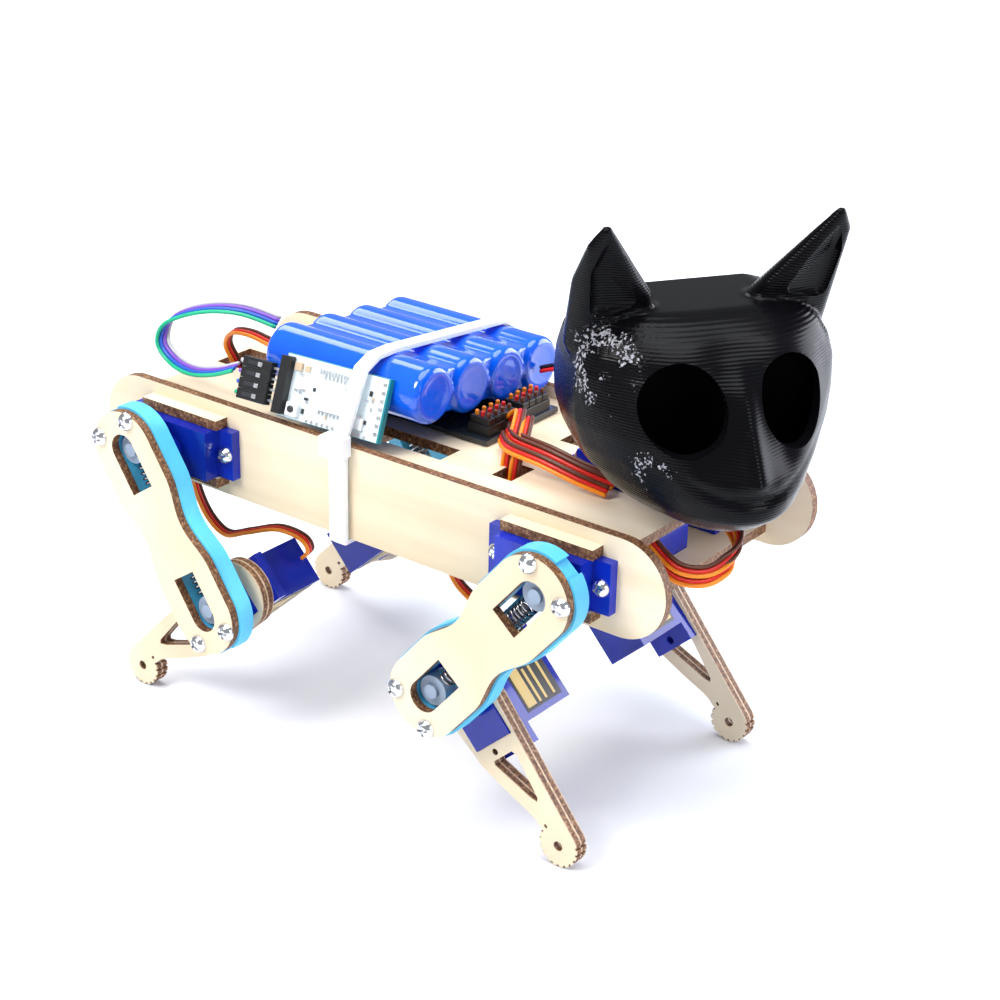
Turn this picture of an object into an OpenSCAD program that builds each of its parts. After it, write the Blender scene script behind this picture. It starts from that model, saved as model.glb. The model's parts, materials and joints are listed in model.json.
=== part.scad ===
// Four-legged walking robot of laser-cut plywood, hobby servos and a printed cat's head.
// X runs forwards to the head, Y to the robot's left, Z up. The feet stand on z = 0.

/* [Body] */
// Distance between the front and rear hip axes
hip_span = 120; // [110:1:126]
// Height of the four hip axes above the ground
hip_z = 70; // [68:0.5:74]
// Width over the outer faces of the side panels
body_w = 62.4; // [61:0.2:64]
// Overall length of a side panel
panel_len = 166; // [162:1:176]
// Height of a side panel
panel_h = 23; // [22:0.5:26]
// Thickness of the plywood sheet
sheet = 2.4; // [2:0.1:2.8]

/* [Legs] */
// Distance from hip axis to knee axis
thigh_len = 42.5; // [41:0.5:44]
// Distance from knee axis to foot centre
shank_len = 44; // [42:0.5:46]
// Direction of the front thighs, anticlockwise from +X as seen from the right side
front_thigh_angle = 229.8; // [222:0.2:238]
// Direction of the rear thighs
rear_thigh_angle = 304; // [296:0.2:312]
// Radius over the foot's teeth
foot_r = 5.2; // [5:0.1:5.6]
// Distance from the middle plane to the outer face of a thigh plate
thigh_y = 48; // [47.6:0.1:48.4]
// Thickness of the printed core behind a thigh plate
core_t = 4.4; // [4.2:0.1:4.6]

/* [Servos] */
// Length of a servo case
servo_l = 22.8; // [22.4:0.1:23]
// Width of a servo case
servo_w = 12.2; // [11.8:0.1:12.2]
// Length over the servo's mounting flange
flange_l = 32.2; // [31.5:0.1:32.6]

/* [Head] */
// Turn of the head about the neck, negative towards the robot's right
head_pan = -34; // [-40:1:40]

/* [Hidden] */

// Legs as [end, side]: end is 1 at the front and -1 at the rear, side is 1 on the left
fr = [1, -1];
fl = [1, 1];
rr = [-1, -1];
rl = [-1, 1];
legs = [fr, fl, rr, rl];

// The hips' middle lies behind the middle of the whole length
body_x = -9.5;
panel_y = body_w / 2;
panel_in = panel_y - sheet;
panel_r = panel_h / 2;

// Servo: heights are measured from the underside of its flange
axis_off = 5.5;
case_below = 15.9;
flange_t = 2.5;
case_above = 6.8;
turret_h = 2.3;
turret_r = 5.8;
shaft_h = 4.8;
shaft_r = 2.35;
case_wall = 1;
screw_pitch = 27.7;

// Decks: the hip servos lie between them
deck_gap = servo_w + 0.2;
deck_top = hip_z + deck_gap / 2 + sheet;
lower_top = hip_z - deck_gap / 2;
deck_len = 142.6;
tab_len = 24.4;
tab_out = 35;
hip_case_x = hip_span / 2 - axis_off;

// Thigh
plate_t = 2.2;
plate_r = 9.8;
plate_reach = 21.7;
waist = 7.3;
core_grow = 0.6;
window_r = 3.8;
window_mid = 22;
window_end = 11.2;
slot_wall = 1.8;
horn_r = 3.6;
horn_gap = 0.2;
spring_r = 2.6;
spring_wire = 0.7;
thigh_screw_x = 27.4;
thigh_screw_z = 5.6;
thigh_in = thigh_y - plate_t;
core_in = thigh_in - core_t;
horn_base = panel_y + case_above + turret_h + 0.1;
horn_top = thigh_in - 0.5;
spring_y = thigh_in - spring_r - 0.05;

// Shank: two glued layers, with the knee servo's flange against its inner face
shank_t = 3.8;
flange_top = panel_y + flange_t;
shank_out = flange_top + shank_t;

// Neck and head, in a frame on the pan axis with x towards the face
pan_case_x = 52.9;
pan_axis_x = pan_case_x + axis_off;
tilt_x = 12;
tilt_y = -2;
tilt_z = 100;
eye_r = 8.7;
eye_turn = 10;

function end_x(leg) = body_x + leg[0] * hip_span / 2;
function thigh_angle(leg) = leg[0] > 0 ? front_thigh_angle : rear_thigh_angle;
function knee_x(leg) = end_x(leg) + thigh_len * cos(thigh_angle(leg));
function knee_z(leg) = hip_z + thigh_len * sin(thigh_angle(leg));
function shank_dip(leg) = asin((knee_z(leg) - foot_r) / shank_len);
function shank_angle(leg) = leg[0] > 0 ? -shank_dip(leg) : 180 + shank_dip(leg);

// Smooth route through hand-chosen points
function spline(a, b, c, d, t) =
    0.5 * (2 * b + (c - a) * t + (2 * a - 5 * b + 4 * c - d) * t * t
    + (3 * b - a - 3 * c + d) * t * t * t);
function route(p, steps) = [
    for (i = [0 : len(p) - 2], k = [0 : steps - 1])
        spline(p[max(i - 1, 0)], p[i], p[i + 1], p[min(i + 2, len(p) - 1)], k / steps),
    p[len(p) - 1]];
function unit(v) = v / norm(v);
function heading(p, i) = unit(p[min(i + 1, len(p) - 1)] - p[max(i - 1, 0)]);
function ring_at(p, i, r, side, n) =
    let (t = heading(p, i), u = unit(cross(t, side)), w = cross(t, u))
    [for (k = [0 : n - 1]) p[i] + r * (cos(360 * k / n) * u + sin(360 * k / n) * w)];

// Round tube swept along a route; side is a direction that the route never follows
module tube(points, r, side, steps = 3) {
    p = route(points, steps);
    n = 8;
    last = len(p) - 1;
    polyhedron(
        points = [for (i = [0 : last]) each ring_at(p, i, r, side, n)],
        faces = [
            [for (k = [0 : n - 1]) k],
            [for (k = [n - 1 : -1 : 0]) last * n + k],
            for (i = [0 : last - 1], k = [0 : n - 1])
                [i * n + (k + 1) % n, i * n + k, (i + 1) * n + k],
            for (i = [0 : last - 1], k = [0 : n - 1])
                [i * n + (k + 1) % n, (i + 1) * n + k, (i + 1) * n + (k + 1) % n]]);
}

module on_side(leg) {
    if (leg[1] > 0) mirror([0, 1, 0]) children();
    else children();
}

// Local x runs from hip to knee, or from knee to foot, and y = 0 is the middle plane
module at_hip(leg) {
    on_side(leg) translate([end_x(leg), 0, hip_z]) rotate([0, -thigh_angle(leg), 0]) children();
}

module at_knee(leg) {
    on_side(leg) translate([knee_x(leg), 0, knee_z(leg)])
        rotate([0, -shank_angle(leg), 0]) children();
}

// Plate drawn in x and z, from y = -outer inwards
module slab(outer, thick) {
    translate([0, -outer + thick, 0]) rotate([90, 0, 0]) linear_extrude(thick) children();
}

// ---- Servos: shaft axis at the origin, pointing to -y, flange underside at y = 0 ----

module box_at(x0, x1, y0, y1, z0, z1) {
    translate([x0, y0, z0]) cube([x1 - x0, y1 - y0, z1 - z0]);
}

// Case, whose middle is axis_off along local x from the shaft
module servo_case() {
    c = axis_off;
    h = servo_w / 2;
    difference() {
        union() {
            box_at(c - servo_l / 2, c + servo_l / 2, -case_above, case_below, -h, h);
            box_at(c - flange_l / 2, c + flange_l / 2, -flange_t, 0, -h, h);
            rotate([90, 0, 0]) cylinder(h = case_above + turret_h, r = turret_r, $fn = 48);
            translate([6, 0, 0]) rotate([90, 0, 0])
                cylinder(h = case_above + turret_h, r = 2.8, $fn = 32);
        }
        box_at(c - servo_l / 2 + case_wall, c + servo_l / 2 - case_wall,
            -case_above + case_wall, case_below + 1, -h + case_wall, h - case_wall);
        rotate([90, 0, 0]) cylinder(h = 20, r = shaft_r + 0.1, $fn = 32);
        for (s = [-1, 1]) translate([c + s * screw_pitch / 2, 1, 0]) rotate([90, 0, 0])
            cylinder(h = flange_t + 2, r = 1, $fn = 24);
    }
    // bottom lid closes the case
    box_at(c - servo_l / 2 + case_wall, c + servo_l / 2 - case_wall,
        case_below - case_wall, case_below, -h + case_wall, h - case_wall);
}

// Motor, gear train and output shaft inside the case
module servo_drive() {
    rotate([90, 0, 0]) cylinder(h = case_above + turret_h + shaft_h - 1.5, r = shaft_r, $fn = 32);
    translate([0, -2.4, 0]) rotate([90, 0, 0]) difference() {
        cylinder(h = 2, r = 4.6, $fn = 40);
        translate([0, 0, -1]) cylinder(h = 4, r = shaft_r + 0.02, $fn = 32);
    }
    translate([8, -3.2, 0]) rotate([90, 0, 0]) cylinder(h = 2, r = 3, $fn = 32);
    translate([11, case_below - 2, 0]) rotate([90, 0, 0])
        cylinder(h = 15.5, r = 4.7, $fn = 40);
}

module servo_screw() {
    rotate([90, 0, 0]) {
        translate([0, 0, flange_t - 6]) cylinder(h = 6, r = 0.9, $fn = 24);
        translate([0, 0, flange_t]) difference() {
            cylinder(h = 1.3, r = 2, $fn = 32);
            for (a = [0, 90]) rotate(a) translate([-1.2, -0.25, 0.7]) cube([2.4, 0.5, 1]);
        }
    }
}

// Place for a hip servo: its long side runs back from a front hip and forward from a rear hip
module at_hip_servo(leg) {
    on_side(leg) translate([end_x(leg), -panel_y, hip_z])
        rotate([0, leg[0] > 0 ? 180 : 0, 0]) children();
}

module at_pan_servo() {
    translate([body_x + pan_axis_x, 0, deck_top]) rotate([0, 0, 180]) rotate([-90, 0, 0])
        children();
}

module body_servos() {
    color([0.10, 0.14, 0.62]) {
        for (leg = legs) at_hip_servo(leg) servo_case();
        at_pan_servo() servo_case();
    }
}

module body_servo_drives() {
    color("silver") {
        for (leg = legs) at_hip_servo(leg) servo_drive();
        at_pan_servo() servo_drive();
    }
}

module servo_screws() {
    color("gainsboro") {
        for (leg = legs, s = [-1, 1])
            at_hip_servo(leg) translate([axis_off + s * screw_pitch / 2, 0, 0]) servo_screw();
        for (s = [-1, 1])
            at_pan_servo() translate([axis_off + s * screw_pitch / 2, 0, 0]) servo_screw();
    }
}

// ---- Body ----

module side_panel() {
    difference() {
        slab(panel_y, sheet) translate([body_x, hip_z]) {
            square([panel_len - panel_h, panel_h], center = true);
            for (s = [-1, 1]) translate([s * (panel_len - panel_h) / 2, 0])
                circle(r = panel_r, $fn = 96);
        }
        for (s = [-1, 1]) translate([body_x + s * hip_case_x, -panel_y, hip_z]) {
            cube([servo_l + 0.3, 4 * sheet, servo_w + 0.3], center = true);
            for (k = [-1, 1]) translate([0, 0, k * (deck_gap + sheet) / 2])
                cube([tab_len + 0.1, 4 * sheet, sheet + 0.06], center = true);
            for (m = [-1, 1]) translate([m * screw_pitch / 2, 0, 0])
                rotate([90, 0, 0]) cylinder(h = 4 * sheet, r = 1, $fn = 24, center = true);
        }
    }
}

module side_panels() {
    color("burlywood") {
        side_panel();
        mirror([0, 1, 0]) side_panel();
    }
}

module deck_blank() {
    translate([body_x - deck_len / 2, -panel_in + 0.05, 0])
        cube([deck_len, 2 * panel_in - 0.1, sheet]);
    for (s = [-1, 1]) translate([body_x + s * hip_case_x - tab_len / 2, -tab_out, 0])
        cube([tab_len, 2 * tab_out, sheet]);
}

// Cut-out in a deck, from its low corner
module deck_hole(x, y, l, w) {
    translate([body_x + x, y, -1]) cube([l, w, sheet + 2]);
}

module pan_cutout() {
    deck_hole(pan_case_x - servo_l / 2 - 0.15, -servo_w / 2 - 0.15, servo_l + 0.3, servo_w + 0.3);
}

module upper_deck() {
    color("burlywood") translate([0, 0, deck_top - sheet]) difference() {
        deck_blank();
        pan_cutout();
        for (s = [-1, 1]) translate([body_x + pan_case_x + s * screw_pitch / 2, 0, -1])
            cylinder(h = sheet + 2, r = 1, $fn = 24);
        // wiring slots
        deck_hole(-12, -18.4, 24.3, 7.4);
        deck_hole(26.3, -17.4, 5.6, 8.8);
        deck_hole(26.3, 8.6, 5.6, 8.8);
        deck_hole(-70, -6, 14, 12);
    }
}

module lower_deck() {
    color("burlywood") translate([0, 0, lower_top - sheet]) difference() {
        deck_blank();
        pan_cutout();
        // lead holes by each knee lead
        for (leg = legs) translate([body_x + lead_hole_x(leg), leg[1] * lead_hole_y, -1])
            cylinder(h = sheet + 2, r = 2.6, $fn = 32);
        // large openings between the servos
        deck_hole(-30, -16, 60, 32);
    }
}

function lead_hole_x(leg) = leg[0] > 0 ? 28 : -62;
lead_hole_y = 24;

module controller_board() {
    board_x = -34;
    board_y = -6;
    board_l = 50;
    board_w = 28;
    stand = 0.4;
    board_t = 1.2;
    top = deck_top + stand + board_t;
    translate([body_x, 0, 0]) {
        color([0.10, 0.12, 0.14]) translate([board_x, board_y, top - board_t])
            cube([board_l, board_w, board_t]);
        color("dimgray") for (x = [3, board_l - 3], y = [3, board_w - 3])
            translate([board_x + x, board_y + y, deck_top]) cylinder(h = stand, r = 2, $fn = 32);
        color([0.08, 0.08, 0.08]) {
            // two rows of servo headers at the front, clear of the battery
            for (k = [0, 1]) translate([board_x + board_l - 7, board_y + 2 + k * 13, top])
                cube([6, 11, 5.5]);
        }
    }
}

// Small radio board that leans on the battery, with its lower edge on the side panel
radio_l = 29.5;
radio_h = 15;
radio_at = [-13.2, -25.6, 89.4];
module at_radio() {
    translate([body_x + radio_at[0], radio_at[1], radio_at[2]])
        rotate([0, 0, 4]) rotate([-21, 0, 0]) children();
}

module radio_board() {
    at_radio() {
        color("teal") translate([-radio_l / 2, -0.8, -radio_h / 2]) cube([radio_l, 1.6, radio_h]);
        color([0.06, 0.06, 0.06]) translate([-radio_l / 2, -3.4, -radio_h / 2 + 0.6])
            cube([2.5, 2.6, radio_h - 1.2]);
        color("white") translate([-radio_l / 2 + 3, -2.4, -radio_h / 2 + 0.6]) cube([3.4, 1.6, 3]);
        color([0.08, 0.08, 0.08]) translate([-3, -1.9, -3.4]) cube([7, 1.1, 7]);
    }
}

// Four wire housings pushed on the radio board's header pins
module jumper_housings() {
    color([0.07, 0.07, 0.07]) at_radio() for (k = [0 : 3])
        translate([-radio_l / 2 - 10.5, -3.4, 1.9 - k * 2.54]) cube([8.5, 2.4, 2.4]);
    color("gold") at_radio() for (k = [0 : 3])
        translate([-radio_l / 2 - 2, -2.45, 2.85 - k * 2.54]) cube([2, 0.5, 0.5]);
}

// Battery: four cells side by side in one shrink sleeve, tipped towards the left
cell_r = 6.75;
cell_pitch = 13.6;
cell_len = 47;
sleeve = 0.25;
battery_at = [-15.2, 5.2, 90];
module at_battery() {
    translate([body_x + battery_at[0], battery_at[1], battery_at[2]]) rotate([-6, 0, 0])
        children();
}

module cell_row(r, len) {
    for (k = [-1.5 : 1.5]) translate([0, k * cell_pitch, 0]) rotate([0, 90, 0])
        cylinder(h = len, r = r, $fn = 64, center = true);
}

module battery_pack() {
    color("lightsteelblue") at_battery() cell_row(cell_r - 0.05, cell_len - 1);
    color([0.05, 0.30, 0.85]) at_battery() difference() {
        union() {
            cell_row(cell_r + sleeve, cell_len);
            cube([cell_len, 3 * cell_pitch, 2 * cell_r - 4.2], center = true);
        }
        cell_row(cell_r, cell_len - 0.9);
    }
}

// Nylon tie round the body, the radio board and the battery
tie_w = 3.6;
tie_t = 1.1;
tie_x = -6;
tail_w = 4.8;
clasp_z = 82;
function tie_route() = [
    [-panel_y, 58.2], [-panel_y, 82.3], [-24, 97.4], [-19.8, 99.3], [-14.2, 99.3], [27.2, 95.1],
    [31.8, 92.4], [33, 88], [32.8, 84], [panel_y, 80.5], [panel_y, 58.2]];

module tie_outline(grow) {
    offset(delta = grow) polygon(tie_route());
}

module cable_tie() {
    color("whitesmoke") translate([body_x + tie_x, 0, 0]) {
        rotate([90, 0, 90]) linear_extrude(tie_w, center = true) difference() {
            tie_outline(tie_t + 0.1);
            tie_outline(0.1);
        }
        // clasp at the panel's top edge, and the tail pulled down from it
        box_at(-3.1, 3.1, -panel_y - tie_t - 3.6, -panel_y - 0.6, clasp_z - 2.4, clasp_z + 2.4);
        box_at(-tail_w / 2, tail_w / 2, -panel_y - tie_t - 0.9, -panel_y - tie_t + 0.2,
            57.6, clasp_z);
    }
}

// ---- Thigh ----

function waist_at(x, grow) = abs(x) >= 12 ? plate_r + grow - 0.03
    : waist + grow + (plate_r - waist) * (1 - cos(15 * x)) / 2;

module thigh_outline(grow) {
    for (s = [-1, 1]) translate([s * plate_reach, 0]) circle(r = plate_r + grow, $fn = 96);
    polygon([
        for (x = [-plate_reach, for (k = [-12 : 1.5 : 12]) k, plate_reach])
            [x, -waist_at(x, grow)],
        for (x = [plate_reach, for (k = [12 : -1.5 : -12]) k, -plate_reach])
            [x, waist_at(x, grow)]]);
}

// Thigh frame with x = 0 half way between hip and knee
module at_thigh(leg) {
    at_hip(leg) translate([thigh_len / 2, 0, 0]) children();
}

module thigh_screw_holes(r) {
    for (x = [-1, 1], z = [-1, 1]) translate([x * thigh_screw_x, z * thigh_screw_z])
        circle(r = r, $fn = 24);
}

module thigh_plate(leg) {
    color("wheat") at_thigh(leg) slab(thigh_y, plate_t) difference() {
        thigh_outline(0);
        for (s = [-1, 1]) {
            translate([s * window_mid, 0]) circle(r = window_r, $fn = 48);
            translate([s * (window_mid + window_end) / 2, 0])
                square([window_mid - window_end, 2 * window_r], center = true);
        }
        thigh_screw_holes(1.1);
    }
}

module thigh_core(leg) {
    color([0.45, 0.85, 0.98]) at_thigh(leg) slab(thigh_in, core_t) difference() {
        thigh_outline(core_grow);
        for (s = [-1, 1]) {
            translate([s * window_mid, 0]) circle(r = window_r + 0.2, $fn = 48);
            translate([s * (window_mid + slot_wall) / 2, 0])
                square([window_mid - slot_wall, 2 * window_r + 0.4], center = true);
            // notch in the rim at each end
            translate([s * (plate_reach + plate_r + core_grow), 0])
                square([2.4, 4.4], center = true);
        }
        thigh_screw_holes(0.8);
    }
}

module thigh_screws(leg) {
    color("gainsboro") at_thigh(leg)
        for (x = [-1, 1], z = [-1, 1])
            translate([x * thigh_screw_x, -thigh_y, z * thigh_screw_z]) rotate([90, 0, 0]) {
                translate([0, 0, -5]) cylinder(h = 5, r = 0.78, $fn = 24);
                difference() {
                    cylinder(h = 1.6, r = 2.3, $fn = 40);
                    for (a = [0, 90]) rotate(a) translate([-1.3, -0.3, 0.8]) cube([2.6, 0.6, 1]);
                }
            }
}

// Spring envelopes between each horn and the wall in the middle of the core
module thigh_springs(leg) {
    len = thigh_len / 2 - horn_r - slot_wall - 0.3;
    color("dimgray") at_thigh(leg) for (s = [-1, 1])
        translate([s * (slot_wall + 0.15 + len / 2), -spring_y, 0]) rotate([0, 90, 0])
            difference() {
                cylinder(h = len, r = spring_r, $fn = 40, center = true);
                cylinder(h = len + 1, r = spring_r - spring_wire, $fn = 40, center = true);
            }
}

// Round servo horn that slides in the core's slot and turns on the servo shaft
module horn() {
    difference() {
        translate([0, -horn_base, 0]) rotate([90, 0, 0])
            cylinder(h = horn_top - horn_base, r = horn_r, $fn = 48);
        translate([0, -horn_base + 0.1, 0]) rotate([90, 0, 0])
            cylinder(h = shaft_h - 1.2, r = shaft_r + 0.05, $fn = 32);
        translate([0, -horn_base, 0]) rotate([90, 0, 0]) cylinder(h = 8, r = 0.9, $fn = 24);
    }
}

module horn_screw() {
    translate([0, -horn_top, 0]) rotate([90, 0, 0]) {
        translate([0, 0, -1.6]) cylinder(h = 1.6, r = 0.85, $fn = 24);
        cylinder(h = 0.9, r = 1.7, $fn = 32);
    }
}

module hip_horn(leg) {
    color("lightsteelblue") at_hip(leg) horn();
    color("silver") at_hip(leg) horn_screw();
}

module knee_horn(leg) {
    color("lightsteelblue") at_hip(leg) translate([thigh_len, 0, 0]) horn();
    color("silver") at_hip(leg) translate([thigh_len, 0, 0]) horn_screw();
}

// ---- Shank ----

module at_knee_servo(leg) {
    at_knee(leg) translate([0, -panel_y, 0]) children();
}

module knee_servo(leg) {
    color([0.10, 0.14, 0.62]) at_knee_servo(leg) servo_case();
}

module knee_drive(leg) {
    color("silver") at_knee_servo(leg) servo_drive();
}

// Outline in the knee frame, with the shin edge on the side that faces away from the thigh
shin_top = 7.7;
calf_top = -8.5;
module shank_outline(leg) {
    flip = leg[0];
    difference() {
        union() {
            translate([-2.2, 0]) circle(r = 8.5, $fn = 72);
            scale([1, flip]) polygon([
                [-2.2, 8.5], [7, shin_top], [44.5, 5.2], [40, -1.6], [36.5, -1.6],
                [34.5, -2.2], [28, -4.8], [20, -7.6], [11, -8.6], [-2.2, calf_top]]);
            translate([shank_len, 0]) circle(r = foot_r, $fn = 64);
        }
        // servo cut-out
        translate([axis_off, 0]) square([servo_l + 0.2, servo_w + 0.2], center = true);
        // triangular window
        scale([1, flip]) polygon([
            [20.6, -3.4], [21.4, -3.8], [31.6, 0.6], [33.2, 1.7], [32.4, 2.5], [22, 3.9],
            [20.6, 3.2]]);
        translate([18.9, -1.5 * flip]) circle(r = 0.8, $fn = 24);
        translate([shank_len, 0]) circle(r = 1.2, $fn = 32);
        // teeth round the sole
        for (a = [-200 : 20 : 40]) translate([shank_len, 0]) rotate(flip * (a + 20))
            translate([foot_r, 0]) square([0.9, 0.7], center = true);
    }
}

module shank(leg) {
    color("wheat") at_knee(leg) {
        slab(shank_out, shank_t / 2) shank_outline(leg);
        slab(shank_out - shank_t / 2, shank_t / 2) shank_outline(leg);
    }
}

// ---- Neck and head ----

module at_neck() {
    translate([body_x + pan_axis_x, 0, 0]) rotate([0, 0, head_pan]) children();
}

hub_z = deck_top + case_above + turret_h + 0.1;
bracket_z = tilt_z - servo_w / 2 - 0.1;
module neck_bracket() {
    mid = tilt_x - axis_off;
    color([0.12, 0.12, 0.12]) at_neck() difference() {
        union() {
            translate([0, 0, hub_z]) cylinder(h = bracket_z - hub_z, r = 6, $fn = 48);
            box_at(-4, 18, tilt_y - 2.2, 6, bracket_z - 2.2, bracket_z);
            // plate behind the tilt servo's flange
            box_at(mid - flange_l / 2, mid + flange_l / 2, tilt_y - 2.2, tilt_y - 0.02,
                bracket_z - 2.2, tilt_z + servo_w / 2);
        }
        box_at(mid - servo_l / 2 - 0.1, mid + servo_l / 2 + 0.1, tilt_y - 4, tilt_y + 1,
            bracket_z, tilt_z + servo_w);
        translate([0, 0, hub_z - 0.1]) cylinder(h = shaft_h - 1.2, r = shaft_r + 0.05, $fn = 32);
    }
}

module at_tilt_servo() {
    at_neck() translate([tilt_x, tilt_y, tilt_z]) rotate([0, 0, 180]) children();
}

module tilt_servo() {
    color([0.10, 0.14, 0.62]) at_tilt_servo() servo_case();
    color("silver") at_tilt_servo() servo_drive();
}

// Skull as a loft in the neck frame: [height, half width, reach of the face, pinch of the muzzle]
skull_rows = [
    [84.3, 8, 35, 1], [85.5, 12.5, 39, 1.1], [88, 17.5, 43.5, 1.4], [91, 21.2, 47, 1.6],
    [95, 24.4, 48.5, 1.7], [99.5, 26.8, 48, 1.7], [105, 28.6, 44.5, 1.5], [110, 29, 41, 1.3],
    [116, 28.6, 38, 1.1], [120.5, 27.2, 34.5, 1], [124, 25, 30, 1], [126.4, 21.5, 25, 1],
    [127.6, 17, 21, 1]];
skull_low = 84.3;
skull_top = 127.6;
skull_side = 2.1;
skull_mid = 18;
skull_back = -30;
shell_cut = 1;
shell_wall = 2.2;

function skull_ring(row, cut, n) = [
    for (k = [0 : n - 1])
        let (a = 360 * k / n,
            c = cos(a),
            forward = c > 0 ? (row[2] - skull_mid - cut) * c ^ row[3]
                : (skull_mid - skull_back - cut) * c)
        [skull_mid + forward, (row[1] - cut) * sin(a), row[0]]];

module skull(cut) {
    rows = cut == 0 ? skull_rows
        : [for (row = skull_rows) if (row[0] > skull_low && row[0] < skull_top)
            [min(max(row[0], skull_low + cut), skull_top - cut + row[0] / 1000),
                row[1], row[2], row[3]]];
    n = 40;
    last = len(rows) - 1;
    polyhedron(
        points = [for (row = rows) each skull_ring(row, cut, n)],
        faces = [
            [for (k = [0 : n - 1]) k],
            [for (k = [n - 1 : -1 : 0]) last * n + k],
            for (i = [0 : last - 1], k = [0 : n - 1])
                [i * n + (k + 1) % n, i * n + k, (i + 1) * n + k],
            for (i = [0 : last - 1], k = [0 : n - 1])
                [i * n + (k + 1) % n, (i + 1) * n + k, (i + 1) * n + (k + 1) % n]]);
}

// Ear: a broad leaf, hollowed on the side towards the face; points are [x, y, z, radius]
ear_leaf = [
    [24.5, 25.6, 147.6, 1.1], [22.5, 27.4, 143.5, 1.5], [17, 28, 135, 1.8], [12, 24.8, 121, 4.4],
    [20.5, 19, 135.5, 1.8], [17, 14.5, 130.6, 2.2], [12, 12.5, 123, 4]];
ear_hollow = [
    [24.9, 25.4, 143.4, 0.9], [22, 25.8, 137.5, 1.6], [20, 25, 131, 1.8],
    [22.4, 20.6, 135.4, 1.3], [20.6, 18.4, 131.2, 1.6]];
module ear(s, points) {
    hull() for (p = points) translate([p[0], s * p[1], p[2]]) sphere(r = p[3], $fn = 20);
}

// Open mask with a dark wall behind the eyes
module mask() {
    difference() {
        union() {
            skull(0);
            for (s = [-1, 1]) ear(s, ear_leaf);
        }
        skull(shell_wall);
        for (s = [-1, 1]) ear(s, ear_hollow);
        // open back and rear underside
        translate([shell_cut - 50, -50, 60]) cube([50, 100, 100]);
        translate([-50, -50, 60]) cube([70, 100, tilt_z - 65]);
        // eyes
        for (s = [-1, 1]) translate([20, s * 9.5, 112.6])
            rotate([0, 90, s * eye_turn]) cylinder(h = 40, r = eye_r, $fn = 48);
    }
    intersection() {
        skull(0.6);
        translate([25.5, -23, 97]) cube([1.6, 46, 27]);
    }
}

// The mask hangs a little to the left of its servo
hub_end = 27.6;
module head_shell() {
    color([0.05, 0.05, 0.06]) at_neck() {
        translate([0, skull_side, 0]) mask();
        // hub on the tilt servo's shaft
        difference() {
            translate([tilt_x, hub_end, tilt_z]) rotate([90, 0, 0])
                cylinder(h = hub_end - tilt_y - case_above - turret_h - 0.1, r = 4.6, $fn = 40);
            translate([tilt_x, tilt_y + case_above + turret_h + shaft_h - 1.2, tilt_z])
                rotate([90, 0, 0]) cylinder(h = 9, r = shaft_r + 0.05, $fn = 32);
        }
    }
}

// ---- Leads ----

// Knee leads: from the servo's end, one slack loop, then up through the lower deck
function rear_knee_route() = [
    [-31.4, -17, 40], [-29.3, -17, 42.8], [-31.5, -17.5, 45.6], [-38, -19, 46.6],
    [-46, -21, 44], [-52, -22.5, 42.2], [-57, -23.5, 46], [-60.5, -24, 53], [-62, -24, 60.8]];
function front_knee_route() = [
    [28, -17, 42.4], [23, -17, 45], [18, -18, 49], [17.4, -20, 54], [22, -22.5, 57],
    [26.8, -24, 58.2], [28, -24, 61.6]];

module knee_lead(leg) {
    color("saddlebrown") on_side(leg) translate([body_x, 0, 0])
        tube(leg[0] > 0 ? front_knee_route() : rear_knee_route(), 1.2, [0, 1, 0], 2);
}

module jumper_lead() {
    color("green") translate([body_x, 0, 0]) tube([
        [-42, -28.2, 90.5], [-49, -27.5, 87.5], [-58, -26, 85], [-66.5, -24, 85], [-71.5, -23, 88.5],
        [-70, -21, 94], [-62, -18, 97.8], [-52, -15, 99], [-43, -12, 97]], 1.6, [0, 1, 0.2]);
}

module rear_lead() {
    color("saddlebrown") translate([body_x, 0, 0]) tube([
        [-66, 0, 72], [-66.5, -3, 79], [-66, -6, 84.5], [-62, -8, 89], [-55, -9, 90.5],
        [-47, -9, 89.5], [-41.5, -8, 88.5]], 1.2, [0, 0.9, 0.45]);
}

module deck_lead() {
    color("orangered") translate([body_x, 0, 0]) tube([
        [18, 3, 81.4], [21.5, 2, 85], [25.5, -3, 87], [28, -8, 84.5], [29, -12, 80],
        [29.2, -13, 73]], 1.2, [0.2, 1, 0]);
}

module head_lead() {
    color("orangered") translate([body_x, 0, 0]) tube([
        [18, -2, 80.8], [21, -7, 83], [28, -13.5, 84.5], [38, -15, 84.5], [47, -14, 82.5],
        [54, -11.5, 80.4]], 1.2, [0, 0.2, 1]);
}

module front_lead() {
    color("orangered") translate([body_x, 0, 0]) tube([
        [67.5, -14, 71], [75, -15, 67.6], [82, -14, 68.5], [85.5, -11, 72], [85, -7, 75.5],
        [80, -4, 78], [75, -3, 80], [71.2, -3, 80.6]], 1.2, [0.3, 1, 0]);
}

module battery_lead() {
    color("red") translate([body_x, 0, 0]) tube([
        [9, 24, 87.5], [15, 24, 89.5], [24, 21.5, 90], [31, 16, 88], [34, 11, 84.5],
        [34.5, 8.5, 80.4]], 1.3, [0.2, 0.4, 1]);
}

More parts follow.
